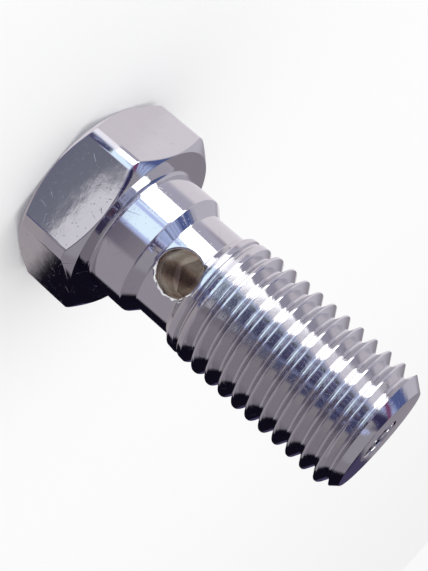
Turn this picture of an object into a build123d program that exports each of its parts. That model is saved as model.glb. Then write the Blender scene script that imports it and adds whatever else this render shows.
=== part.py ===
# Banjo bolt: a hex-headed hollow bolt that clamps a ring-shaped pipe union and lets fluid through it.
# One turned, drilled and plated piece. Lengths in millimetres.
# The origin is the centre of the bearing face under the head, and +Z runs along the shank to the tip.
# The cross hole opens towards -Y, in line with the middle of one hex flat.
from build123d import *
import math
import os

# Head. The insets say how far the circles of its two end faces lie inside the flats
across_flats = 14.0
hex_corner_radius = 1.1
head_height = 5.3
head_chamfer_angle = 35.0
bearing_face_inset = 0.05
crown_face_inset = 0.2

# Collar that centres the ring of the union, and the cone that leads from it to the neck
collar_diameter = 10.2
collar_length = 3.1
collar_root_chamfer = 0.3
collar_cone_angle = 45.0

# Neck between the cone and the thread
neck_diameter = 8.56
thread_start = 6.6

# Thread, ISO metric fine, right hand
thread_diameter = 10.0
thread_pitch = 1.25
groove_start = 7.03
run_out_turns = 2
run_out_ramp_angle = 45.0
run_out_crest_drop = 0.2
run_out_root_rise = 0.6
under_head_length = 22.85

# Chamfered tip
tip_face_diameter = 8.3
tip_chamfer_angle = 40.0

# Fluid passage: a long bore from the tip, and a cross hole through the neck that meets its end
bore_diameter = 3.2
bore_end_height = 5.2
bore_mouth_chamfer = 0.1
cross_hole_diameter = 3.4
cross_hole_height = 5.72
cross_hole_depth = 4.0
drill_point_angle = 118.0

# Proportions of the standard thread form, as shares of the pitch, and its flank angle
crest_flat_share = 1 / 8
thread_depth_share = 0.6134
flank_angle = 30.0

# How far the drills and the groove reach past the surfaces that they cut
drill_overrun = 0.5
groove_overrun = 0.1

# Radii and slopes that follow from the sizes above
collar_radius = collar_diameter / 2
neck_radius = neck_diameter / 2
thread_radius = thread_diameter / 2
root_radius = thread_radius - thread_depth_share * thread_pitch
tip_face_radius = tip_face_diameter / 2
bore_radius = bore_diameter / 2
cross_hole_radius = cross_hole_diameter / 2
head_slope = math.tan(math.radians(head_chamfer_angle))
flank_slope = math.tan(math.radians(flank_angle))
drill_point_slope = 1 / math.tan(math.radians(drill_point_angle / 2))


def hex_head():
    """A hexagon with rounded corners, its two ends turned to cones."""
    corner_radius = across_flats / math.sqrt(3)
    bearing_radius = across_flats / 2 - bearing_face_inset
    crown_radius = across_flats / 2 - crown_face_inset
    with BuildPart() as head:
        with BuildSketch(Plane.XY.offset(-head_height)) as outline:
            RegularPolygon(radius=across_flats / 2, side_count=6, major_radius=False)
            fillet(outline.vertices(), radius=hex_corner_radius)
        extrude(amount=head_height)
        with BuildSketch(Plane.XZ):
            with BuildLine():
                Polyline(
                    (0, -head_height),
                    (crown_radius, -head_height),
                    (corner_radius, -head_height + (corner_radius - crown_radius) * head_slope),
                    (corner_radius, -(corner_radius - bearing_radius) * head_slope),
                    (bearing_radius, 0),
                    (0, 0),
                    close=True,
                )
            make_face()
        revolve(axis=Axis.Z, mode=Mode.INTERSECT)
    return head.part


def collar_and_neck():
    """The turned stretch between the bearing face and the thread."""
    cone_length = (collar_radius - neck_radius) / math.tan(math.radians(collar_cone_angle))
    with BuildPart() as shank:
        with BuildSketch(Plane.XZ):
            with BuildLine():
                Polyline(
                    (0, 0),
                    (collar_radius + collar_root_chamfer, 0),
                    (collar_radius, collar_root_chamfer),
                    (collar_radius, collar_length),
                    (neck_radius, collar_length + cone_length),
                    (neck_radius, thread_start),
                    (0, thread_start),
                    close=True,
                )
            make_face()
        revolve(axis=Axis.Z)
    return shank.part


def turned_blank():
    """The blank that the thread is cut in: a run-out ramp, the crests' cylinder and the tip chamfer."""
    first_radius = thread_radius - run_out_crest_drop
    ramp_length = (first_radius - neck_radius) / math.tan(math.radians(run_out_ramp_angle))
    full_height = thread_start + ramp_length + run_out_turns * thread_pitch
    chamfer_length = (thread_radius - tip_face_radius) / math.tan(math.radians(tip_chamfer_angle))
    with BuildPart() as blank:
        with BuildSketch(Plane.XZ):
            with BuildLine():
                Polyline(
                    (0, thread_start),
                    (neck_radius, thread_start),
                    (first_radius, thread_start + ramp_length),
                    (thread_radius, full_height),
                    (thread_radius, under_head_length - chamfer_length),
                    (tip_face_radius, under_head_length),
                    (0, under_head_length),
                    close=True,
                )
            make_face()
        revolve(axis=Axis.Z)
    return blank.part


def groove_turn(start_radius, end_radius):
    """One right-hand turn of the groove between two crests, its root going from one radius to the other."""
    root_half_width = thread_pitch * (1 - crest_flat_share) / 2 - (thread_radius - root_radius) * flank_slope
    mouth_radius = thread_radius + groove_overrun + start_radius - end_radius
    mouth_half_width = root_half_width + (mouth_radius - start_radius) * flank_slope
    taper = math.degrees(math.atan((end_radius - start_radius) / thread_pitch))
    with BuildPart() as groove:
        with BuildLine() as path:
            Helix(thread_pitch, thread_pitch, start_radius, cone_angle=taper)
        with BuildSketch(Plane.XZ):
            with BuildLine():
                Polyline(
                    (start_radius, -root_half_width),
                    (mouth_radius, -mouth_half_width),
                    (mouth_radius, mouth_half_width),
                    (start_radius, root_half_width),
                    close=True,
                )
            make_face()
        sweep(path=path.line, is_frenet=True)
    return groove.part


def run_out_radius(turn):
    """Root radius at the start of a turn: it sinks evenly from the run-out to the full depth."""
    return root_radius + run_out_root_rise * max(0, 1 - turn / run_out_turns)


def thread():
    """The blank with its groove cut turn by turn, from the run-out to beyond the tip."""
    groove_length = under_head_length + thread_pitch / 2 - groove_start
    turn_count = math.ceil(groove_length / thread_pitch)
    with BuildPart() as threaded:
        add(turned_blank())
        for turn in range(turn_count):
            with Locations((0, 0, groove_start + turn * thread_pitch)):
                add(groove_turn(run_out_radius(turn), run_out_radius(turn + 1)), mode=Mode.SUBTRACT)
    return threaded.part


def drill(plane, depth, radius):
    """What a drill removes along the plane's X: a straight wall and a conical point."""
    with BuildPart() as cut:
        with BuildSketch(plane):
            with BuildLine():
                Polyline(
                    (-drill_overrun, 0),
                    (-drill_overrun, radius),
                    (depth, radius),
                    (depth + radius * drill_point_slope, 0),
                    close=True,
                )
            make_face()
        revolve(axis=Axis(plane.origin, plane.x_dir))
    return cut.part


tip = Plane(origin=(0, 0, under_head_length), x_dir=(0, 0, -1), z_dir=(0, 1, 0))
thread_side = Plane(origin=(0, -thread_radius, cross_hole_height), x_dir=(0, 1, 0), z_dir=(1, 0, 0))

with BuildPart() as banjo_bolt:
    add(hex_head())
    add(collar_and_neck())
    add(thread())
    add(drill(tip, under_head_length - bore_end_height, bore_radius), mode=Mode.SUBTRACT)
    bore_mouth = banjo_bolt.faces().sort_by(Axis.Z)[-1].inner_wires().edges()
    chamfer(bore_mouth, length=bore_mouth_chamfer)
    side_depth = thread_radius - neck_radius + cross_hole_depth
    add(drill(thread_side, side_depth, cross_hole_radius), mode=Mode.SUBTRACT)

banjo_bolt.part.label = "banjo_bolt"
os.makedirs("parts", exist_ok=True)
export_step(banjo_bolt.part, "parts/banjo_bolt.step")
print("banjo_bolt volume", round(banjo_bolt.part.volume, 2), "mm3")
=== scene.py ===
# %% [markdown]
# A banjo bolt is a hollow bolt with a hexagonal head. It clamps a ring-shaped pipe union against a
# housing, and the fluid passes through its drilled neck. The real one is turned from hexagon bar,
# drilled twice, threaded and chrome plated. The CAD model gives its place and its main sizes, and
# this script makes a finer skin over it, with the small rounded edges that polished metal needs.

# %% Load the CAD frame
import math

import bmesh
import bpy
import numpy as np
from mathutils import Matrix, Vector


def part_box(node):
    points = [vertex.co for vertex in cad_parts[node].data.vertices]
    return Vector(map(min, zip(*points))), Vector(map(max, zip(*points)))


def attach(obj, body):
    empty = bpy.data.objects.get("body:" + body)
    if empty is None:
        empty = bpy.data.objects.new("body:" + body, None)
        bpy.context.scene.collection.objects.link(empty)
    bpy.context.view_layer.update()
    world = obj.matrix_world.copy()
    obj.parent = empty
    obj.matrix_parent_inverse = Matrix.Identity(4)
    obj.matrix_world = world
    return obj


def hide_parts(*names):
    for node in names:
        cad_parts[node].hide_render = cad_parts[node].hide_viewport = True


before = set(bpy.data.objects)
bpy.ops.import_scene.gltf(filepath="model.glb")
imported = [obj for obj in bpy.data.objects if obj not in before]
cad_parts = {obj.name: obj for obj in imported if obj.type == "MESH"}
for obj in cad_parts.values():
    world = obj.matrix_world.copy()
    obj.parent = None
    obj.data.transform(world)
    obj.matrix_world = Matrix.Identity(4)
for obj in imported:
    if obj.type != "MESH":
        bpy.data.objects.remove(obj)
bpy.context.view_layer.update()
low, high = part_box("banjo_bolt")
MM = 0.001
print("CAD box in mm:", [round(v / MM, 2) for v in (*low, *high)])

# %% [markdown]
# The sizes are those of the drawing, in millimetres. What the frame tells is read from the frame, so
# the skin follows the solid if its length or its spanner size changes. The rest is what the photo
# shows: a plain collar, a thinner neck and an ISO metric fine thread with a pitch of 1.25 mm.

# %% Sizes in millimetres
across_flats = (high.y - low.y) / MM
head_height = -low.z / MM
shank_length = high.z / MM
hex_corner_radius = 1.1
head_cone_slope = math.tan(math.radians(35))
bearing_radius = across_flats / 2 - 0.05
crown_radius = across_flats / 2 - 0.2

collar_radius = 5.1
collar_end = 3.1
neck_radius = 4.28
thread_start = 6.6
first_crest_radius = 4.8
full_crest_height = 9.62
crest_radius = 5.0

pitch = 1.25
groove_start = 7.03
thread_depth = 0.6134 * pitch
root_half_width = pitch * 7 / 16 - thread_depth * math.tan(math.radians(30))

tip_face_radius = 4.15
tip_slope = math.tan(math.radians(40))
bore_radius = 1.6
bore_end = 5.2
port_radius = 1.7
port_height = 5.72
port_bottom = -0.28
drill_point_slope = math.tan(math.radians(31))

# How many vertices go round the bolt
around = 240
sizes = {"across flats": across_flats, "head": head_height, "shank": shank_length}
print("sizes in mm", {name: round(size, 2) for name, size in sizes.items()})

# %% [markdown]
# No real edge is sharp: after turning and plating each one has a radius of about a tenth of a
# millimetre, and on chrome that radius is what catches the light. A section is therefore drawn with
# its corners rounded by short arcs. This helper works out such a line from its corners and radii.

# %% Round the corners of a section line
largest_share = 0.48


def rounded(corners, radii, steps=3):
    """The line through (radius, height) corners, each inner corner replaced by an arc."""
    corners = [Vector(c) for c in corners]
    line = [corners[0]]
    for before, corner, after, radius in zip(corners, corners[1:], corners[2:], radii):
        back, on = before - corner, after - corner
        half_angle = back.angle(on) / 2
        reach = min(radius / math.tan(half_angle), largest_share * min(back.length, on.length))
        bisector = (back.normalized() + on.normalized()).normalized()
        middle = corner + bisector * reach / math.cos(half_angle)
        first = corner + back.normalized() * reach - middle
        last = corner + on.normalized() * reach - middle
        turn = first.angle_signed(last)
        for step in range(steps + 1):
            line.append(middle + Matrix.Rotation(-turn * step / steps, 2) @ first)
    line.append(corners[-1])
    return line


print("corner arcs take at most", largest_share, "of a line")

# %% [markdown]
# Every piece below is made in the same way: a primitive is added, its open ring is extruded from
# station to station, and its doubles are merged at the end. These helpers do those steps with the
# operators that one would use by hand, and select by place, because a script has no mouse.

# %% Start, grow and close a piece


def start_piece(name, add_primitive, **how):
    """Adds a primitive with nothing else selected, names it, and opens it in edit mode."""
    bpy.ops.object.select_all(action="DESELECT")
    add_primitive(**how)
    piece = bpy.context.active_object
    piece.name = name
    bpy.ops.object.transform_apply(location=True, rotation=True, scale=True)
    bpy.ops.object.mode_set(mode="EDIT")
    bpy.ops.mesh.select_mode(type="VERT")
    bpy.ops.mesh.select_all(action="SELECT")
    return piece


def close_piece(piece, merge_distance=2e-8):
    """Merges doubles, turns the faces outwards and leaves edit mode."""
    bpy.ops.mesh.select_all(action="SELECT")
    bpy.ops.mesh.remove_doubles(threshold=merge_distance)
    bpy.ops.mesh.normals_make_consistent(inside=False)
    bpy.ops.object.mode_set(mode="OBJECT")
    print(piece.name, "faces", len(piece.data.polygons))
    return piece


def grow_rings(piece, stations, seat):
    """Extrudes the selected ring from station to station. seat says where each vertex goes."""
    for station in range(stations):
        if station:
            bpy.ops.mesh.extrude_edges_move()
        mesh = bmesh.from_edit_mesh(piece.data)
        for vertex in mesh.verts:
            if vertex.select:
                vertex.co = seat(vertex, station)
        bmesh.update_edit_mesh(piece.data)


def select_ring(piece, test):
    """Selects the open edges whose two ends both pass the test, and nothing else."""
    bpy.ops.mesh.select_mode(type="EDGE")
    bpy.ops.mesh.select_all(action="DESELECT")
    mesh = bmesh.from_edit_mesh(piece.data)
    for edge in mesh.edges:
        if edge.is_boundary and all(test(v.co / MM) for v in edge.verts):
            edge.select_set(True)
    bmesh.update_edit_mesh(piece.data)


def report(piece):
    """Prints whether the piece is closed, its volume and its triangles."""
    mesh = bmesh.new()
    mesh.from_mesh(piece.data)
    print("open edges", sum(not e.is_manifold for e in mesh.edges))
    print("volume mm3", round(mesh.calc_volume() / MM**3, 1))
    print("triangles", sum(len(f.verts) - 2 for f in mesh.faces))
    mesh.free()


print("helpers ready, millimetres in a frame unit", 1 / MM)

# %% [markdown]
# The head starts as a six-sided ring. Its corners are rounded by a vertex bevel, its sides are
# divided, and the ring is then extruded from the top of the head to the bearing face. A cutting tool
# has turned both ends to a shallow cone, so where a cone meets a flat the edge is an arc that sinks
# towards the corners. Seating each ring by the cone's slope gives that arc exactly, which a boolean
# would give too, but without the rounded edge. The last ring is a true circle in even steps, ready
# to meet the collar.

# %% Ring of the hex head
corner_setback = hex_corner_radius * math.tan(math.radians(30))
corner_steps, flat_steps = 12, 28
head = start_piece(
    "banjo_bolt_skin",
    bpy.ops.mesh.primitive_circle_add,
    vertices=6,
    radius=across_flats / math.sqrt(3) * MM,
    rotation=(0, 0, math.radians(30)),
)
bpy.ops.mesh.bevel(offset=corner_setback * MM, segments=corner_steps, profile=0.5, affect="VERTICES")
ring = bmesh.from_edit_mesh(head.data)
for edge in ring.edges:
    edge.select = edge.calc_length() > across_flats / 4 * MM
ring.select_flush(True)
ring.select_flush(False)
bpy.ops.mesh.subdivide(number_cuts=flat_steps - 1)
ring = bmesh.from_edit_mesh(head.data)
outline = ring.verts.layers.float.new("outline_radius")
column = ring.verts.layers.int.new("column")


def angle_of(vertex):
    return (math.atan2(vertex.co.y, vertex.co.x) + 0.001) % (2 * math.pi)


for place, vertex in enumerate(sorted(ring.verts, key=angle_of)):
    vertex[outline] = vertex.co.xy.length / MM
    vertex[column] = place
bpy.ops.mesh.select_all(action="SELECT")
print("head ring", len(ring.verts), "vertices")


# %% [markdown]
# The side of the head is one short line from the top to the bearing face, with a narrow radius at
# each edge. Where the two arcs of the cones lie depends on how far out that place of the ring is.

# %% Sides and ends of the head
crown_rim = 0.6
bearing_rim = 0.35
head_edge_radii = (0.12, 0.1, 0.1, 0.08)
foot_radius = collar_radius + 0.55
bottom_margin = 0.01


def head_section(outline_radius):
    """The head's side at one place round it, from the top of the head to the bearing face."""
    top_arc = -head_height + (outline_radius - crown_radius) * head_cone_slope
    foot_arc = -(outline_radius - bearing_radius) * head_cone_slope
    corners = [
        (crown_radius - crown_rim, -head_height),
        (crown_radius, -head_height),
        (outline_radius, top_arc),
        (outline_radius, foot_arc),
        (bearing_radius, 0),
        (bearing_radius - bearing_rim, 0),
    ]
    return rounded(corners, head_edge_radii)


def seat_on_head(vertex, station):
    layers = bmesh.from_edit_mesh(head.data).verts.layers
    section = head_section(vertex[layers.float["outline_radius"]])
    if station == len(section):
        angle = 2 * math.pi * vertex[layers.int["column"]] / around
        return (foot_radius * math.cos(angle) * MM, foot_radius * math.sin(angle) * MM, 0)
    radius, height = section[station]
    return (*(vertex.co.xy.normalized() * radius * MM), height * MM)


grow_rings(head, len(head_section(across_flats / 2)) + 1, seat_on_head)
select_ring(head, lambda place: place.z < -head_height + bottom_margin)
bpy.ops.mesh.edge_face_add()
bpy.ops.object.mode_set(mode="OBJECT")
print("head faces", len(head.data.polygons))

# %% [markdown]
# From the bearing face to the first thread crest the bolt is a plain turned shape. Its section is
# drawn as one line and spun once round the axis, in the same number of steps as the head has
# columns, so that the two meet vertex on vertex in the flat bearing face. The ramp at the end of the
# neck belongs to this section, because its two edges are circles and not parts of the thread.

# %% Turned collar, neck and ramp
ramp_end = thread_start + first_crest_radius - neck_radius
plain_end = ramp_end + 0.08
plain_edge_radii = (0.3, 0.2, 0.12, 0.1, 0.1)
crest_rise = (crest_radius - first_crest_radius) / (full_crest_height - ramp_end)


def blank_radius(height):
    """Radius of the turned blank at a height above the bearing face, from the neck to the crests."""
    ramp = neck_radius + np.maximum(height - thread_start, 0)
    crests = first_crest_radius + (height - ramp_end) * crest_rise
    return np.minimum(np.minimum(ramp, crests), crest_radius)


def draw_section(name, points):
    """A wire line in the plane y = 0, drawn by extruding one vertex through (radius, height) points."""
    piece = start_piece(name, bpy.ops.mesh.primitive_plane_add, size=MM)
    bpy.ops.mesh.merge(type="CENTER")
    places = [Vector((radius * MM, 0, height * MM)) for radius, height in points]
    bpy.ops.transform.translate(value=places[0])
    for place, following in zip(places, places[1:]):
        bpy.ops.mesh.extrude_region_move(TRANSFORM_OT_translate={"value": following - place})
    bpy.ops.mesh.select_all(action="SELECT")
    return piece


def spin_section(steps):
    """Spins the selected line once round the bolt's axis."""
    once_round = 2 * math.pi
    bpy.ops.mesh.spin(steps=steps, angle=once_round, use_auto_merge=True, center=(0, 0, 0), axis=(0, 0, 1))


cone_end = collar_end + collar_radius - neck_radius
plain_section = rounded(
    [
        (foot_radius, 0),
        (collar_radius, 0),
        (collar_radius, collar_end),
        (neck_radius, cone_end),
        (neck_radius, thread_start),
        (first_crest_radius, ramp_end),
        (float(blank_radius(plain_end)), plain_end),
    ],
    plain_edge_radii,
)
shank = draw_section("shank", plain_section)
spin_section(around)
close_piece(shank)

# %% [markdown]
# The thread's surface is one helix. A line that runs over exactly one pitch, from the middle of one
# groove to the middle of the next, is given to a Screw modifier that lifts it by one pitch a turn.
# The faces then follow the crests and the grooves all the way round, and the polish shows no steps,
# which a heightfield of upright columns can't promise.

# %% Thread as a screwed section
groove_offset = 1
thread_turns = math.ceil((shank_length + 1 - groove_start) / pitch) + groove_offset
thread_top = shank_length + 0.8
root_edge_radius = 0.1
crest_edge_radius = 0.09


def half_groove(depth):
    """The groove from its middle to a crest's middle: (distance along the bolt, drop from the crest)."""
    lip = root_half_width + depth * math.tan(math.radians(30))
    corners = [(0, depth), (root_half_width, depth), (lip, 0), (pitch / 2, 0)]
    return rounded(corners, (root_edge_radius, crest_edge_radius))


def section_of_turn(depth):
    half = [Vector(p) for p in half_groove(depth)]
    whole = half[:-1] + [Vector((pitch - p.x, p.y)) for p in reversed(half[:-1])]
    return whole


section = section_of_turn(thread_depth)
start_height = groove_start - groove_offset * pitch
thread = draw_section("thread", [(crest_radius - p.y, start_height + p.x) for p in section])
bpy.ops.object.mode_set(mode="OBJECT")
screw = thread.modifiers.new("turns", "SCREW")
screw.axis = "Z"
screw.angle = 2 * math.pi
screw.screw_offset = pitch * MM
screw.iterations = thread_turns
screw.steps = around
screw.render_steps = around
bpy.ops.object.modifier_apply(modifier="turns")
print("thread", thread_turns, "turns,", len(thread.data.vertices), "vertices")

# %% [markdown]
# A real groove doesn't start at full depth: the cutting tool sinks in over the first two turns, and
# the blank is a little smaller there. Each column of the helix is therefore seated again with its
# own depth. Below the first crest and above the tip all columns end on one circle, so that the helix
# closes into a solid body.

# %% Run-out of the thread
run_out_turns = 2
run_out_rise = 0.6
entry_turns = (0.1, 0.35)
groove_end = shank_length - 0.45
end_fade = 0.4
shallowest_drawn = 0.12
cap_radius = 4.0
cap_start = shank_length + 0.15
cap_end = thread_top - 0.05


def groove_depth(turn):
    """Depth of the groove below the blank, at a number of turns from where the tool enters."""
    root = crest_radius - thread_depth + run_out_rise * max(0, 1 - turn / run_out_turns)
    groove_height = groove_start + turn * pitch
    entry = min(max((turn - entry_turns[0]) / entry_turns[1], 0), 1)
    leaving = min(max((groove_end - groove_height) / end_fade, 0), 1)
    return max(float(blank_radius(groove_height)) - root, 0) * entry * leaving


def seated_half(turn):
    """Half a groove at that turn as (distance, drop) rows, drawn deep enough to hold its arcs."""
    depth = groove_depth(turn)
    drawn = max(depth, shallowest_drawn)
    return np.array([(p[0], p[1] * depth / drawn) for p in half_groove(drawn)[:-1]])


coordinates = np.empty(len(thread.data.vertices) * 3)
thread.data.vertices.foreach_get("co", coordinates)
columns = coordinates.reshape(-1, len(section), 3) / MM
upwards = np.argsort(columns[0, :, 2])
for column, rows in enumerate(columns):
    turn = column / around - groove_offset
    rising, falling = seated_half(turn), seated_half(turn + 1)
    along = np.concatenate([rising[:, 0], pitch - falling[::-1, 0]])
    drop = np.concatenate([rising[:, 1], falling[::-1, 1]])
    height = groove_start + turn * pitch + along
    drop[height < plain_end] = 0
    height = np.clip(height, plain_end, thread_top)
    cap = cap_radius + (cap_end - height) * (crest_radius - cap_radius) / (cap_end - cap_start)
    radius = np.minimum(blank_radius(height) - drop, np.maximum(cap, cap_radius))
    angle = 2 * math.pi * (column % around) / around
    rows[upwards] = np.stack([radius * math.cos(angle), radius * math.sin(angle), height], 1)
thread.data.vertices.foreach_set("co", (columns * MM).ravel())
thread.data.update()
bpy.context.view_layer.objects.active = thread
bpy.ops.object.mode_set(mode="EDIT")
close_piece(thread)
print("groove depth after 1 and 2 turns", round(groove_depth(1), 2), round(groove_depth(2), 2))

# %% [markdown]
# The head, the plain shank and the thread are one piece of steel, so they become one mesh, merged
# where their rings meet. A solid with no gaps is needed for the drilling that follows.

# %% Join into one solid blank
join_distance = 1e-7
bpy.ops.object.select_all(action="DESELECT")
for piece in (head, shank, thread):
    piece.select_set(True)
bpy.context.view_layer.objects.active = head
bpy.ops.object.join()
skin = head
bpy.ops.object.mode_set(mode="EDIT")
bpy.ops.mesh.select_all(action="SELECT")
bpy.ops.mesh.remove_doubles(threshold=join_distance)
select_ring(skin, lambda place: place.z > shank_length)
bpy.ops.mesh.edge_face_add()
close_piece(skin)
report(skin)

# %% [markdown]
# The ramp at the end of the neck isn't quite square to the axis in the photo: at the lower side of
# the picture it starts a third of a millimetre further on than at the upper side, as the run-in of a
# thread does. The vertices round it are therefore pushed along the bolt by an amount that depends on
# their bearing and fades out towards the neck and the second crest.

# %% Lean of the ramp
ramp_lag = 0.3
latest_bearing = math.radians(352.7)
lag_heights = (6.2, 6.6, 7.2, 8.4)


def lag_at(angle, height):
    """How far the ramp lies beyond its nominal height, at a bearing and a height."""
    share = (1 + np.cos(angle - latest_bearing)) / 2
    return ramp_lag * share * np.interp(height, lag_heights, (0, 1, 1, 0))


coordinates = np.empty(len(skin.data.vertices) * 3)
skin.data.vertices.foreach_get("co", coordinates)
places = coordinates.reshape(-1, 3)
bearings = np.arctan2(places[:, 1], places[:, 0])
places[:, 2] += lag_at(bearings, places[:, 2] / MM) * MM
skin.data.vertices.foreach_set("co", places.ravel())
skin.data.update()
print("largest lag in mm", round(float(lag_at(latest_bearing, thread_start)), 3))

# %% [markdown]
# On the lathe the tip is faced and chamfered, and the bore is drilled to just past the cross hole.
# Each cut is made by a solid that is spun like a tool's envelope and then subtracted. The tool's
# line leaves the metal along a small arc, so the cut edge comes out rounded and not knife sharp.

# %% Cut the tip and the bore
tool_clearance = 1.5
side_clearance = 0.7
step_out = 0.05
step_down = 0.3
edge_radius = 0.1
tool_edge_radii = (edge_radius, 0.15, 0.01, 0.01, 0.01)
bore_point_radius = 0.12


def cut(piece, tool):
    """Subtracts a closed tool from the piece and removes the tool."""
    bpy.ops.object.select_all(action="DESELECT")
    bpy.context.view_layer.objects.active = piece
    boolean = piece.modifiers.new("cut", "BOOLEAN")
    boolean.operation = "DIFFERENCE"
    boolean.solver = "MANIFOLD"
    boolean.object = tool
    bpy.ops.object.modifier_apply(modifier="cut")
    bpy.data.objects.remove(tool)
    print("cut", piece.name, "faces", len(piece.data.polygons))


def mouth_arc(radius, steps=6, last_angle=75):
    """Rows of (step out of the hole's wall, sink below the surface) along the rounded rim of a hole."""
    angles = [math.radians(last_angle * step / steps) for step in range(steps + 1)]
    return [(radius * (1 - math.cos(a)), radius * (1 - math.sin(a))) for a in angles]


chamfer_foot = shank_length - (crest_radius - tip_face_radius) / tip_slope
tip_line = rounded(
    [
        (0, shank_length),
        (tip_face_radius, shank_length),
        (crest_radius, chamfer_foot),
        (crest_radius + step_out, chamfer_foot - step_down),
        (crest_radius + side_clearance, chamfer_foot - step_down),
        (crest_radius + side_clearance, shank_length + tool_clearance),
        (0, shank_length + tool_clearance),
    ],
    tool_edge_radii,
    steps=4,
)
tip_tool = draw_section("tip_tool", tip_line)
spin_section(around)
cut(skin, close_piece(tip_tool))

bore_steps = 120
bore_tool_radius = bore_radius + edge_radius * 2
bore_point = bore_end - bore_radius * drill_point_slope
bore_line = rounded(
    [(0, bore_point), (bore_radius, bore_end), (bore_radius, shank_length - 1)],
    (bore_point_radius,),
)
bore_line += [Vector((bore_radius + out, shank_length - sink)) for out, sink in mouth_arc(edge_radius)]
bore_line += [
    Vector((bore_tool_radius, shank_length + edge_radius)),
    Vector((bore_tool_radius, shank_length + tool_clearance)),
    Vector((0, shank_length + tool_clearance)),
]
bore_tool = draw_section("bore_tool", bore_line)
spin_section(bore_steps)
cut(skin, close_piece(bore_tool))

# %% [markdown]
# The cross hole is drilled through the wall of the neck, where the fluid leaves the bolt into the
# ring channel of the union. Its mouth runs over the curved neck, so each vertex of the rim is seated
# at the depth of the neck's surface at that very place, and the edge is as round above as beside.

# %% Drill the cross hole
port_steps = 96
port_rim_radius = 0.2
port_wall_end = 3.0
smallest_ring = 0.05
rim_step = 0.1
clear_of_neck = (0, 0.08, 2.0)
point_depth = port_bottom + port_radius * drill_point_slope
port_corners = [(smallest_ring, -point_depth), (port_radius, -port_bottom), (port_radius, port_wall_end)]
port_wall = rounded(port_corners, (bore_point_radius,))
port_rim = mouth_arc(port_rim_radius)
port_reach = math.sqrt(neck_radius**2 - port_radius**2)


def seat_on_port(vertex, station):
    """The port tool's surface: first the drill's point and wall, then the rim that follows the neck."""
    angle = math.atan2(vertex.co.z / MM - port_height, vertex.co.x / MM)
    if station < len(port_wall):
        radius, reach = port_wall[station]
        return Vector((radius * math.cos(angle), -reach, port_height + radius * math.sin(angle))) * MM
    rim_station = min(station - len(port_wall), len(port_rim) - 1)
    beyond = station - len(port_wall) - rim_station
    out, sink = port_rim[rim_station]
    radius = port_radius + out + rim_step * beyond
    across, height = radius * math.cos(angle), port_height + radius * math.sin(angle)
    lag = float(lag_at(math.atan2(-port_reach, across), height))
    surface = math.sqrt(float(blank_radius(height - lag)) ** 2 - across**2)
    reach = surface - sink + clear_of_neck[beyond]
    return Vector((across, -reach, height)) * MM


port_tool = start_piece(
    "port_tool",
    bpy.ops.mesh.primitive_circle_add,
    vertices=port_steps,
    radius=port_radius * MM,
    location=(0, 0, port_height * MM),
    rotation=(math.radians(90), 0, 0),
)
grow_rings(port_tool, len(port_wall) + len(port_rim) + 2, seat_on_port)
bpy.ops.mesh.edge_face_add()
select_ring(port_tool, lambda place: True)
bpy.ops.mesh.merge(type="COLLAPSE")
cut(skin, close_piece(port_tool))

# %% [markdown]
# Along the lower side of the hole's mouth the drill pushed up a thin burr, which nobody filed away
# before plating. Only the vertices on the rounded rim are lifted, most in the middle of
# the rounding and not at its ends, so the lip grows out of the rim and leaves the neck as it is. Three
# sine waves with no common rhythm make it ragged, and the same way each time.

# %% Burr on the rim of the cross hole
burr_height = 0.13
burr_middle = math.radians(22)
burr_reach = 1.4
mean_tooth = 0.55
tooth_waves = ((9, 0.2, 0), (23, 0.2, 1), (41, 0.15, 0))
rim_depth = 0.4
rim_width = port_rim[-1][0]

coordinates = np.empty(len(skin.data.vertices) * 3)
skin.data.vertices.foreach_get("co", coordinates)
places = coordinates.reshape(-1, 3)
sideways = places[:, 0] / MM
endways = places[:, 2] / MM - port_height
round_port = np.arctan2(endways, sideways)
rim_place = np.clip((np.hypot(sideways, endways) - port_radius) / rim_width, 0, 1)
on_rim = (rim_place < 1) & (places[:, 1] < -(port_reach - rim_depth) * MM)
teeth = np.full_like(round_port, mean_tooth)
for teeth_round, share, shift in tooth_waves:
    teeth += share * np.sin(teeth_round * round_port + shift)
strength = np.clip(burr_reach * np.cos(round_port - burr_middle), 0, 1) * np.clip(teeth, 0.1, 1)
lift = np.where(on_rim, burr_height * strength * np.sin(math.pi * np.sqrt(rim_place)), 0)
outwards = places[:, :2] / np.maximum(np.hypot(places[:, 0], places[:, 1]), MM)[:, None]
places[:, :2] += outwards * lift[:, None] * MM
skin.data.vertices.foreach_set("co", places.ravel())
skin.data.update()
print("burr vertices", int((lift > 0).sum()), "highest mm", round(float(lift.max()), 3))

# %% [markdown]
# Shading follows the shape: faces that meet at less than 32 degrees belong to one rounded surface,
# and larger angles stay edges. Normals are weighted by face area, so the broad flats stay flat in a
# mirror and only the narrow arcs between them turn, as on plated steel.

# %% Finish the skin
bpy.ops.object.select_all(action="DESELECT")
skin.select_set(True)
bpy.context.view_layer.objects.active = skin
bpy.ops.object.mode_set(mode="EDIT")
close_piece(skin)
bpy.ops.object.shade_smooth_by_angle(angle=math.radians(32))
skin.modifiers.new("weigh", "WEIGHTED_NORMAL").keep_sharp = True
bpy.ops.object.modifier_apply(modifier="weigh")
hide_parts("banjo_bolt")
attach(skin, "root")
report(skin)

# %% [markdown]
# A material is a small graph of nodes. These helpers add a node with its settings and its inputs in
# one call, so that each finish below reads from top to bottom like a recipe.

# %% Helpers for node trees


def add_node(tree, kind, inputs=(), **settings):
    """Adds a node. Inputs are pairs of socket and value or output, and settings its own properties."""
    node = tree.nodes.new("ShaderNode" + kind)
    for name, value in settings.items():
        setattr(node, name, value)
    for socket, value in inputs:
        if isinstance(value, bpy.types.NodeSocket):
            tree.links.new(value, node.inputs[socket])
        else:
            node.inputs[socket].default_value = value
    return node


def math_node(tree, operation, *values, clamp=False):
    return add_node(tree, "Math", enumerate(values), operation=operation, use_clamp=clamp).outputs[0]


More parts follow.
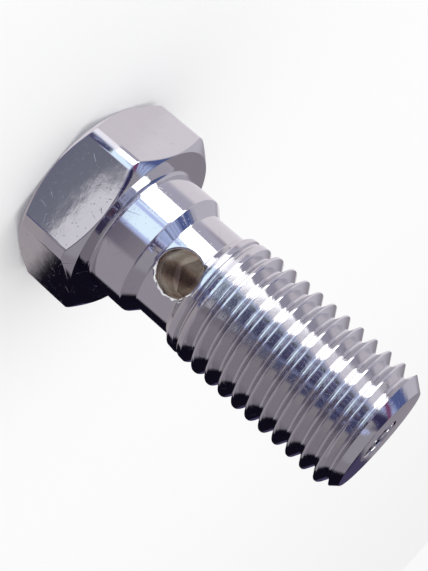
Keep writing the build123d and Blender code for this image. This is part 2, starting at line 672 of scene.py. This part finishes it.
def product(tree, *values):
    """All the values multiplied, as for masks that must hold together."""
    result = values[0]
    for value in values[1:]:
        result = math_node(tree, "MULTIPLY", result, value)
    return result


def vector_node(tree, operation, *values):
    return add_node(tree, "VectorMath", enumerate(values), operation=operation).outputs[0]


def length_of(tree, vector):
    return add_node(tree, "VectorMath", ((0, vector),), operation="LENGTH").outputs["Value"]


def smooth_step(tree, value, start, end):
    """0 below start, 1 above end, and a smooth rise between."""
    inputs = (("Value", value), ("From Min", start), ("From Max", end))
    return add_node(tree, "MapRange", inputs, interpolation_type="SMOOTHSTEP").outputs[0]


def between(tree, value, limits, blur):
    """1 where the value lies between two limits, with edges that fade over the blur."""
    rise = smooth_step(tree, value, limits[0] - blur / 2, limits[0] + blur / 2)
    fall = smooth_step(tree, value, limits[1] + blur / 2, limits[1] - blur / 2)
    return product(tree, rise, fall)


def mix_colour(tree, factor, first, second):
    inputs = ((0, factor), (6, first), (7, second))
    return add_node(tree, "Mix", inputs, data_type="RGBA").outputs[2]


def linear(*colour):
    """A colour from 0 to 255, as a picture stores it, turned to the linear values that light uses."""
    shares = [c / 255 for c in colour]
    return tuple(s / 12.92 if s <= 0.04045 else ((s + 0.055) / 1.055) ** 2.4 for s in shares)


print("middle grey as light", round(linear(128)[0], 3))


# %% [markdown]
# Plated steel is never a perfect mirror. The plate is a little wavy where the steel under it was
# turned or ground, and it has short scratches and small pits from lying among other parts. Each of
# these is a pattern on the bolt's own coordinates, in millimetres, so it stays in place from every
# side. Pits and scratches are scattered with a Voronoi pattern, which gives each cell one centre and
# one random colour: the colour decides which way a scratch runs.

# %% Tools for patterns on the plated surface
chrome = bpy.data.materials.new("chrome_plate")
chrome.use_nodes = True
tree = chrome.node_tree
shader = tree.nodes["Principled BSDF"]
object_place = add_node(tree, "TexCoord").outputs["Object"]
in_mm = add_node(tree, "VectorMath", ((0, object_place), (3, 1 / MM)), operation="SCALE").outputs[0]
edge_softness = 0.3


def noise(vector, scale, detail=2.0, roughness=0.5):
    inputs = (("Vector", vector), ("Scale", scale), ("Detail", detail), ("Roughness", roughness))
    return add_node(tree, "TexNoise", inputs).outputs["Fac"]


def stretched(scale):
    """The bolt's coordinates with a scale for each direction, for a pattern that is long one way."""
    return add_node(tree, "Mapping", (("Vector", in_mm), ("Scale", scale))).outputs[0]


def scattered(density, share):
    """One spot in some Voronoi cells: the way from its centre, a random vector, the mask of its cell."""
    cells = add_node(tree, "TexVoronoi", (("Vector", in_mm), ("Scale", density))).outputs
    way = vector_node(tree, "SUBTRACT", in_mm, cells["Position"])
    chance = add_node(tree, "TexWhiteNoise", (("Vector", cells["Position"]),)).outputs["Value"]
    chosen = math_node(tree, "LESS_THAN", chance, share)
    return way, cells["Color"], chosen


def pits(density, share, radius):
    way, _, chosen = scattered(density, share)
    dent = smooth_step(tree, length_of(tree, way), radius, radius * edge_softness)
    return product(tree, dent, chosen)


def scratched(density, share, width, reach):
    """Short scratches: where the surface meets a randomly turned plane through a spot's centre."""
    way, random_vector, chosen = scattered(density, share)
    centred = vector_node(tree, "SUBTRACT", random_vector, (0.5, 0.5, 0.5))
    normal = vector_node(tree, "NORMALIZE", centred)
    dot_inputs = ((0, way), (1, normal))
    off_plane = add_node(tree, "VectorMath", dot_inputs, operation="DOT_PRODUCT").outputs["Value"]
    line = smooth_step(tree, math_node(tree, "ABSOLUTE", off_plane), width, width * edge_softness)
    ended = smooth_step(tree, length_of(tree, way), reach, reach * edge_softness * 2)
    return product(tree, line, ended, chosen)


print("pattern tools ready in", chrome.name)

# %% [markdown]
# The finish needs five patterns. Waves a millimetre long bend what the flats mirror, grain is the
# fine roughness under the plate, and lathe marks run round the shank, so they are narrow along the
# axis and long across it. A few long scratches lie among many short ones, and likewise the pits.

# %% Patterns on the plated surface
waves = noise(in_mm, 0.9, detail=4.0, roughness=0.45)
grain = noise(in_mm, 8.0, detail=3.0, roughness=0.7)
lathe_marks = noise(stretched((1.5, 1.5, 9.0)), 1.0, detail=3.0)
haze = noise(in_mm, 0.35, detail=4.0)
long_scratches = scratched(density=0.7, share=0.2, width=0.03, reach=0.9)
short_scratches = scratched(density=1.9, share=0.06, width=0.022, reach=0.4)
scratches = math_node(tree, "MAXIMUM", long_scratches, short_scratches, clamp=True)
large_pits = pits(density=2.2, share=0.25, radius=0.06)
small_pits = pits(density=5.5, share=0.35, radius=0.045)
specks = math_node(tree, "MAXIMUM", large_pits, small_pits)
print("pattern nodes", len(tree.nodes))

# %% [markdown]
# Down in the drilled holes, where no chrome reaches, the steel is brown and dull. The mask for it is
# the distance from the axis together with the height, because the mouths of both holes are still
# plated. A second mask, from the axis of the cross hole, marks the burr on its lower rim, where a
# white highlight is painted.

# %% Masks of the holes and of the burr
plating_depth = 0.3
plating_fade = 1.4
tip_plating = (0.3, 1.2)
burr_ring = (port_radius + 0.22, port_radius + 0.36)

bolt_x, bolt_y, bolt_z = add_node(tree, "SeparateXYZ", ((0, in_mm),)).outputs
across_axis = add_node(tree, "CombineXYZ", ((0, bolt_x), (1, bolt_y))).outputs[0]
from_axis = length_of(tree, across_axis)
bore_side = smooth_step(tree, from_axis, bore_radius + 0.4, bore_radius + 0.2)
bare_from = neck_radius - plating_depth
deep = smooth_step(tree, from_axis, bare_from, bare_from - plating_fade)
above_bearing = smooth_step(tree, bolt_z, 0.5, 1.5)
below_tip = smooth_step(tree, bolt_z, shank_length - tip_plating[0], shank_length - tip_plating[1])
inside = product(tree, deep, above_bearing, below_tip)

above_port = math_node(tree, "SUBTRACT", bolt_z, port_height)
from_port = length_of(tree, add_node(tree, "CombineXYZ", ((0, bolt_x), (1, above_port))).outputs[0])
ragged = math_node(tree, "MULTIPLY_ADD", noise(in_mm, 2.6, detail=3.0), 0.5, from_port)
lower_side = smooth_step(tree, bolt_x, 0.1, 0.7)
port_side = smooth_step(tree, bolt_y, 0.0, -1.0)
at_surface = smooth_step(tree, from_axis, neck_radius - 0.3, neck_radius - 0.12)
burr = product(tree, between(tree, ragged, burr_ring, 0.06), lower_side, port_side, at_surface)
print("masks of the holes,", len(tree.nodes), "nodes so far")

# %% [markdown]
# Chrome is nearly white with a trace of violet, a little darker where it is hazy or pitted. The
# steel below is streaked along the bore. On the lower wall of the cross hole two bright stretches
# are painted highlights with a band of painted dark reflection between them, and the burr on the
# rim is given a painted white highlight, the palest place of all.

# %% Colours of chrome and steel, and of the painted highlights and shade
chrome_colour = (0.72, 0.715, 0.73)
hazy_chrome = (0.66, 0.655, 0.68, 1)
pitted_chrome = (0.4, 0.39, 0.4, 1)
dark_steel = (0.6, 0.47, 0.42, 1)
light_steel = (1.0, 0.86, 0.7, 1)
# Painted highlight: the colour of the two bright stretches on the cross hole's wall
painted_highlight_steel = (1.0, 0.96, 0.86, 1)
# Painted dark reflection: the colour of the dark band between the painted highlights on the cross hole's
# wall
painted_dark_reflection_steel = (0.14, 0.1, 0.11, 1)
# Painted highlight: the burr's pure white stands for the light that its rim catches
painted_burr_highlight = (1, 1, 1, 1)

streak_pattern = noise(stretched((1.8, 1.8, 0.3)), 1.0)
steel_streaks = smooth_step(tree, streak_pattern, 0.35, 0.65)
low_wall = smooth_step(tree, bolt_z, port_height, port_height - 0.5)
# Painted highlights: two stretches of the cross hole's lower wall are made brighter in colour, where its
# mirror shows light
upper_painted_highlight = between(tree, bolt_x, (-1.15, -0.1), 0.5)
lower_painted_highlight = product(tree, smooth_step(tree, bolt_x, 1.0, 1.5), 0.7)
wall_painted_highlight = product(tree, math_node(tree, "MAXIMUM", upper_painted_highlight, lower_painted_highlight), low_wall)
# Painted dark reflection: a dark band on the lower wall, between the two painted highlights
wall_painted_dark_reflection = product(tree, between(tree, bolt_x, (0.15, 1.0), 0.5), low_wall, 0.75)

plate = mix_colour(tree, haze, (*chrome_colour, 1), hazy_chrome)
plate = mix_colour(tree, product(tree, specks, 0.3), plate, pitted_chrome)
steel = mix_colour(tree, steel_streaks, dark_steel, light_steel)
# The painted highlights are mixed into the steel
steel = mix_colour(tree, wall_painted_highlight, steel, painted_highlight_steel)
# The painted dark reflection is mixed into the steel
steel = mix_colour(tree, wall_painted_dark_reflection, steel, painted_dark_reflection_steel)
coloured = mix_colour(tree, inside, plate, steel)
# The burr's painted white highlight is laid over all
tree.links.new(mix_colour(tree, burr, coloured, painted_burr_highlight), shader.inputs["Base Color"])
print("chrome colour", chrome_colour)

# %% [markdown]
# The plate is almost a mirror, so its roughness is only a few hundredths, and more where it is
# scratched. Bare steel is duller, and its oil and rust hide a part of the metal. That part is set by
# Metallic, which is lowered further under the painted highlights on the wall of the cross hole and
# most under the burr's painted white highlight, so that their painted colours show. The burr
# scatters light, so it is rough as well.

# %% Roughness and metal
plate_roughness = math_node(tree, "MULTIPLY_ADD", haze, 0.03, 0.035)
worn_plate = math_node(tree, "MULTIPLY_ADD", scratches, 0.2, plate_roughness)
steel_roughness = math_node(tree, "MULTIPLY_ADD", steel_streaks, -0.12, 0.34)
burr_roughness = 0.6
steel_cover = -0.55
# Less metal under the painted highlights, so that their painted colour shows
painted_highlight_cover = -0.4
# Less metal on the burr, so that its painted white highlight shows
burr_highlight_cover = -0.8

rough = add_node(tree, "Mix", ((0, inside), (2, worn_plate), (3, steel_roughness))).outputs[0]
rough = add_node(tree, "Mix", ((0, burr), (2, rough), (3, burr_roughness))).outputs[0]
tree.links.new(rough, shader.inputs["Roughness"])
metal = math_node(tree, "MULTIPLY_ADD", inside, steel_cover, 1.0)
metal = math_node(tree, "ADD", metal, product(tree, wall_painted_highlight, inside, painted_highlight_cover))
metal = math_node(tree, "MULTIPLY_ADD", burr, burr_highlight_cover, metal, clamp=True)
tree.links.new(metal, shader.inputs["Metallic"])
print("roughness and metal linked")

# %% [markdown]
# The patterns become one height in millimetres: a Bump node turns it into tilted normals, which is
# enough for marks a few thousandths of a millimetre deep. Inside the bore the height fades out.

# %% Height of the marks
wave_height = 0.0034
head_grain = 0.0004
shank_grain = 0.0008
thread_grain = 0.0014
lathe_mark_height = 0.001
scratch_depth = -0.0022
pit_depth = -0.002

on_shank = smooth_step(tree, bolt_z, 0.0, 0.2)
on_thread = smooth_step(tree, bolt_z, thread_start, ramp_end)
grain_height = math_node(tree, "MULTIPLY_ADD", on_shank, shank_grain, head_grain)
grain_height = math_node(tree, "MULTIPLY_ADD", on_thread, thread_grain, grain_height)
height = math_node(tree, "MULTIPLY_ADD", waves, wave_height, product(tree, grain, grain_height))
height = math_node(tree, "ADD", height, product(tree, lathe_marks, on_shank, lathe_mark_height))
height = math_node(tree, "MULTIPLY_ADD", scratches, scratch_depth, height)
height = math_node(tree, "MULTIPLY_ADD", specks, pit_depth, height)
height = product(tree, height, math_node(tree, "SUBTRACT", 1.0, bore_side))
bump = add_node(tree, "Bump", (("Strength", 1.0), ("Distance", MM), ("Height", height)))
tree.links.new(bump.outputs["Normal"], shader.inputs["Normal"])
skin.data.materials.clear()
skin.data.materials.append(chrome)
print("chrome material nodes", len(tree.nodes))

# %% [markdown]
# The camera's place, turn and lens were fitted to the outline of the bolt in the picture. It looks
# down a little at the bolt and is turned so far that the bolt lies across the picture.

# %% Camera
camera_place = (-11.033, -86.13, 31.581)
camera_turn = (-66.699, -46.449, 155.677)
camera_data = bpy.data.cameras.new("camera")
camera_data.lens = 80.344
camera_data.sensor_width = 36
camera_data.clip_start = 0.005
camera_data.clip_end = 10
camera = bpy.data.objects.new("camera", camera_data)
camera.location = Vector(camera_place) * MM
camera.rotation_euler = [math.radians(angle) for angle in camera_turn]
bpy.context.scene.collection.objects.link(camera)
bpy.context.scene.camera = camera
camera_bearing = math.atan2(camera.location.y, camera.location.x)
print("camera", round(camera.location.length / MM, 1), "mm from the bearing face")

# %% [markdown]
# Chrome has hardly any colour of its own: what it shows is the room. The bands on the flats, the
# collar and the thread tell of a white lamp screen to the left, a pale blue window beside the camera,
# a mauve wall, a dark corner and a cluttered navy cloth in front of the bolt. A large sphere round the
# bolt carries these things as glowing panels, each of one plain colour as a picture stores it.

# %% Colours of the room
room_colours = {
    "wall": (126, 121, 129),
    "right_wall": (142, 137, 145),
    "left_wall": (176, 173, 183),
    "ceiling": (141, 138, 145),
    "shelf": (206, 201, 207),
    "mauve_frame": (162, 160, 175),
    "lamp_screen": (255, 255, 255),
    "window": (222, 242, 255),
    "window_haze": (178, 190, 232),
    "slate": (158, 163, 190),
    "pale_slate": (182, 184, 208),
    "shade": (98, 92, 107),
    "night": (60, 54, 80),
    "dark_corner": (14, 12, 23),
    "table": (198, 192, 198),
    "bright_table": (236, 234, 241),
    "grey_table": (149, 143, 147),
    "slate_table": (104, 106, 119),
    "navy_cloth": (74, 77, 110),
    "paper": (202, 200, 206),
    "blue_cupboard": (82, 94, 140),
    "pale_pane": (158, 170, 206),
    "purple_frame": (116, 68, 104),
    "navy_cupboard": (48, 45, 76),
    "dusty_brown": (132, 88, 80),
}


def room_colour(name):
    return (*linear(*room_colours[name]), 1)


print("room colours", len(room_colours))

# %% [markdown]
# Bearings are counted in degrees from the camera, to the right, and elevations from the horizon. Each
# panel is a soft-edged rectangle: the product of four smooth steps, two in bearing and two in
# elevation, each with its own blur. Later panels hide earlier ones, as things do that stand nearer.

# %% Panels of the room
room_panels = [
    ("ceiling", (-190, 190), (52, 95), 4, 6),
    ("pale_pane", (-128, -12), (50, 67), 12, 6),
    ("blue_cupboard", (-155, -68), (37, 57), 12, 8),
    ("purple_frame", (-92, -78), (57, 69), 6, 6),
    ("navy_cupboard", (-84, -32), (67, 95), 7, 5),
    ("left_wall", (-158, -78), (-16, 40), 22, 8),
    ("shelf", (-175, -98), (-40, -4), 14, 8),
    ("right_wall", (42, 124), (-40, -4), 10, 8),
    ("dark_corner", (121, 172), (-40, 38), 8, 5),
    ("dark_corner", (166, 178.7), (-40, 38), 0.8, 5),
    ("night", (166, 178.7), (-40, 12), 0.8, 3),
    ("night", (158, 190), (36, 95), 12, 6),
    ("slate", (-50, -10), (-8, 52), 8, 6),
    ("pale_slate", (-48, -8), (4, 28), 10, 8),
    ("shade", (-10, 44), (-9, 56), 14, 8),
    ("night", (-12, 54), (27, 42), 8, 8),
    ("night", (-10, 24), (51, 66), 12, 6),
    ("window_haze", (-40, 9), (-40, -5), 8, 8),
    ("window", (-34, 3), (-40, -5), 4, 8),
    ("window_haze", (-31, -25), (-16, -5), 3, 3),
    ("mauve_frame", (-93, -60), (-40, -5), 16, 8),
    ("table", (-190, -70), (-95, -22.4), 8, 1.2),
    ("bright_table", (-75, -40), (-95, -22.4), 14, 1.2),
    ("slate_table", (-34, 30), (-95, -22.75), 12, 0.4),
    ("navy_cloth", (-24, 7), (-95, -23.6), 10, 1.2),
    ("navy_cloth", (4, 36), (-95, -25.5), 6, 1.5),
    ("grey_table", (34, 190), (-95, -22.4), 8, 1.2),
    ("paper", (6.5, 27), (-22.75, -19.5), 3, 0.35),
    ("slate_table", (4, 13.7), (-24, -21.8), 1.2, 0.4),
]

surroundings = bpy.data.materials.new("surroundings")
surroundings.use_nodes = True
tree = surroundings.node_tree
tree.nodes.clear()
room_place = add_node(tree, "TexCoord").outputs["Object"]
room_x, room_y, room_z = add_node(tree, "SeparateXYZ", ((0, room_place),)).outputs
turned = math_node(tree, "SUBTRACT", math_node(tree, "ARCTAN2", room_y, room_x), camera_bearing)
bearing = math_node(tree, "WRAP", math_node(tree, "DEGREES", turned), 180, -180)
on_ground = add_node(tree, "CombineXYZ", ((0, room_x), (1, room_y))).outputs[0]
rise_angle = math_node(tree, "ARCTAN2", room_z, length_of(tree, on_ground))
elevation = math_node(tree, "DEGREES", rise_angle)

room = room_colour("wall")
for name, bearings, elevations, side_blur, height_blur in room_panels:
    beside = between(tree, bearing, bearings, side_blur)
    level = between(tree, elevation, elevations, height_blur)
    room = mix_colour(tree, product(tree, beside, level), room, room_colour(name))
print("room panels", len(room_panels))

# %% [markdown]
# A chrome thread shows many small things in the room at once, so two more details are laid over the
# panels: the upright bars of a glazed cupboard, which the chamfer of the tip mirrors, and small
# blots of things that lie on the cloth, made with a noise pattern that is cut off sharply.

# %% Cupboard bars and clutter
pane_width = 7.5
bar_edge = (0.2, 0.1)
bar_strength = 0.7
pane_place = math_node(tree, "FRACT", math_node(tree, "MULTIPLY", bearing, 1 / pane_width))
cupboard_side = between(tree, bearing, (-150, -50), 4)
cupboard_level = between(tree, elevation, (37, 69), 4)
bar_lines = smooth_step(tree, pane_place, *bar_edge)
bars = product(tree, bar_lines, cupboard_side, cupboard_level, bar_strength)
room = mix_colour(tree, bars, room, room_colour("navy_cupboard"))

clear_elevation = -11.0
clear_reach = (14.0, 16.5)
clutter_bearings = (-42, 30)
blot_edge = 0.03
clutter = (
    ("window_haze", 14.0, 0.58, 0.8),
    ("dusty_brown", 19.0, 0.6, 0.7),
    ("navy_cupboard", 11.0, 0.57, 0.8),
)
off_clear = math_node(tree, "ABSOLUTE", math_node(tree, "SUBTRACT", elevation, clear_elevation))
clutter_side = between(tree, bearing, clutter_bearings, 10)
clutter_zone = product(tree, clutter_side, smooth_step(tree, off_clear, *clear_reach))
for name, scale, start, strength in clutter:
    inputs = (("Vector", room_place), ("Scale", scale), ("Detail", 4.0))
    blots = add_node(tree, "TexNoise", inputs).outputs["Fac"]
    blots = product(tree, smooth_step(tree, blots, start, start + blot_edge), strength, clutter_zone)
    room = mix_colour(tree, blots, room, room_colour(name))
print("kinds of clutter", len(clutter))

# %% [markdown]
# The lamp screen is the brightest thing in the room and gives the white stretches on the collar, the
# neck and every turn of the thread. It leans a little, so its bearings are sheared with the height.
# The panels glow just so much brighter that a mirror of chrome gives their colours back as they are.
# Only reflections see the sphere, so it lights nothing else.

# %% Lamp screen and the sphere of the room
screen_bearings = (-73, -39)
screen_elevations = (-22, 47)
screen_lean = 0.22
screen_brightness = 1.2
room_brightness = 1 / chrome_colour[1]

leaning = math_node(tree, "MULTIPLY_ADD", elevation, screen_lean, bearing)
screen_side = between(tree, leaning, screen_bearings, 2)
screen = product(tree, screen_side, between(tree, elevation, screen_elevations, 3))
room = mix_colour(tree, screen, room, room_colour("lamp_screen"))
strength = math_node(tree, "MULTIPLY_ADD", screen, screen_brightness, room_brightness)
glow = add_node(tree, "Emission", (("Color", room), ("Strength", strength)))
add_node(tree, "OutputMaterial", (("Surface", glow.outputs[0]),))

add_sphere = bpy.ops.mesh.primitive_uv_sphere_add
dome = start_piece("surroundings", add_sphere, segments=96, ring_count=48, radius=1)
bpy.ops.object.mode_set(mode="OBJECT")
dome.data.materials.append(surroundings)
dome.visible_camera = False
dome.visible_diffuse = False
dome.visible_shadow = False
dome.visible_transmission = False
print("room nodes", len(tree.nodes))

# %% [markdown]
# The bolt stands on a white table. The light on it comes evenly from the whole sky and a little more
# from one large soft lamp above, which gives the small shadow round the head. The table is hidden
# from reflections, because the bolt in the picture mirrors another room than this plain one.

# %% Floor and light
table_white = (0.935, 0.935, 0.935, 1)
sky_strength = 0.95
floor_place = (0, 0, -head_height * MM)
floor = start_piece("floor", bpy.ops.mesh.primitive_plane_add, size=3, location=floor_place)
bpy.ops.object.mode_set(mode="OBJECT")
table_paint = bpy.data.materials.new("white_table")
table_paint.use_nodes = True
paint = table_paint.node_tree.nodes["Principled BSDF"].inputs
paint["Base Color"].default_value = table_white
paint["Roughness"].default_value = 0.9
paint["Specular IOR Level"].default_value = 0
floor.data.materials.append(table_paint)
floor.visible_glossy = False

world = bpy.data.worlds.new("world")
world.use_nodes = True
world.node_tree.nodes["Background"].inputs["Color"].default_value = (1, 1, 1, 1)
world.node_tree.nodes["Background"].inputs["Strength"].default_value = sky_strength
bpy.context.scene.world = world
bpy.context.scene.view_settings.view_transform = "Standard"

lamp_data = bpy.data.lights.new("soft_lamp", "AREA")
lamp_data.shape = "DISK"
lamp_data.size = 0.3
lamp_data.energy = 0.25
lamp = bpy.data.objects.new("soft_lamp", lamp_data)
lamp.location = (-0.15, -0.1, 0.4)
lamp.rotation_euler = (-lamp.location).to_track_quat("-Z", "Y").to_euler()
lamp.visible_glossy = False
bpy.context.scene.collection.objects.link(lamp)
print("lamp", round(lamp.location.length, 2), "m away, sky strength", sky_strength)
